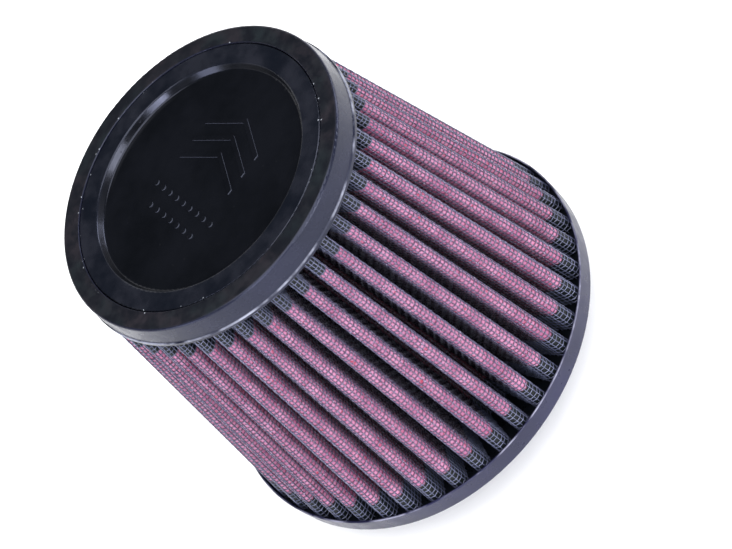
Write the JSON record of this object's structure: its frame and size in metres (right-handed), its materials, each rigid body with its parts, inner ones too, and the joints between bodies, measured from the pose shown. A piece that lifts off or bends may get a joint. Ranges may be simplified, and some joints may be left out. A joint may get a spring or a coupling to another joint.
{
  "type": "air filter",
  "caption": "Round tapered pleated air filter with a moulded rubber base and clamp-on inlet neck, wire mesh over oiled gauze and a closed rubber cap.",
  "frame": {"origin": "centre of the inlet neck's end face, the filter's lowest face", "axes": "+Z along the filter's axis from the inlet neck to the closed cap; +Y towards the clamp's screw"},
  "size_m": [0.1252, 0.1252, 0.1295],
  "materials": {
    "base_rubber": "satin moulded black rubber",
    "cap_urethane": "semi-gloss side, matte mottled top",
    "cap_disc": "smooth satin moulded disc",
    "screen_mesh": "black epoxy-coated woven aluminium wire",
    "oiled_gauze": "cotton gauze with red filter oil",
    "bare_aluminium": "mill finish strip",
    "clamp_steel": "rolled stainless strip",
    "clamp_screw_steel": "zinc-plated screw"
  },
  "bodies": {
    "filter": {"base_flange": "base_rubber", "cap_rim": "cap_urethane", "cap_plate": "cap_disc", "outer_screen": "screen_mesh", "inner_screen": "screen_mesh", "seam_clip": "bare_aluminium", "clamp_band": "clamp_steel", "clamp_housing": "clamp_steel", "gauze_ply_1": "oiled_gauze", "gauze_ply_2": "oiled_gauze", "gauze_ply_3": "oiled_gauze", "gauze_ply_4": "oiled_gauze"},
    "screw": {"clamp_screw": "clamp_screw_steel"}
  },
  "joints": [
    {"name": "clamp_screw_turn", "type": "hinge", "parent": "filter", "child": "screw", "pos_m": [0, 0.0441, 0.01035], "axis": [-1, 0, 0], "continuous": true}
  ]
}
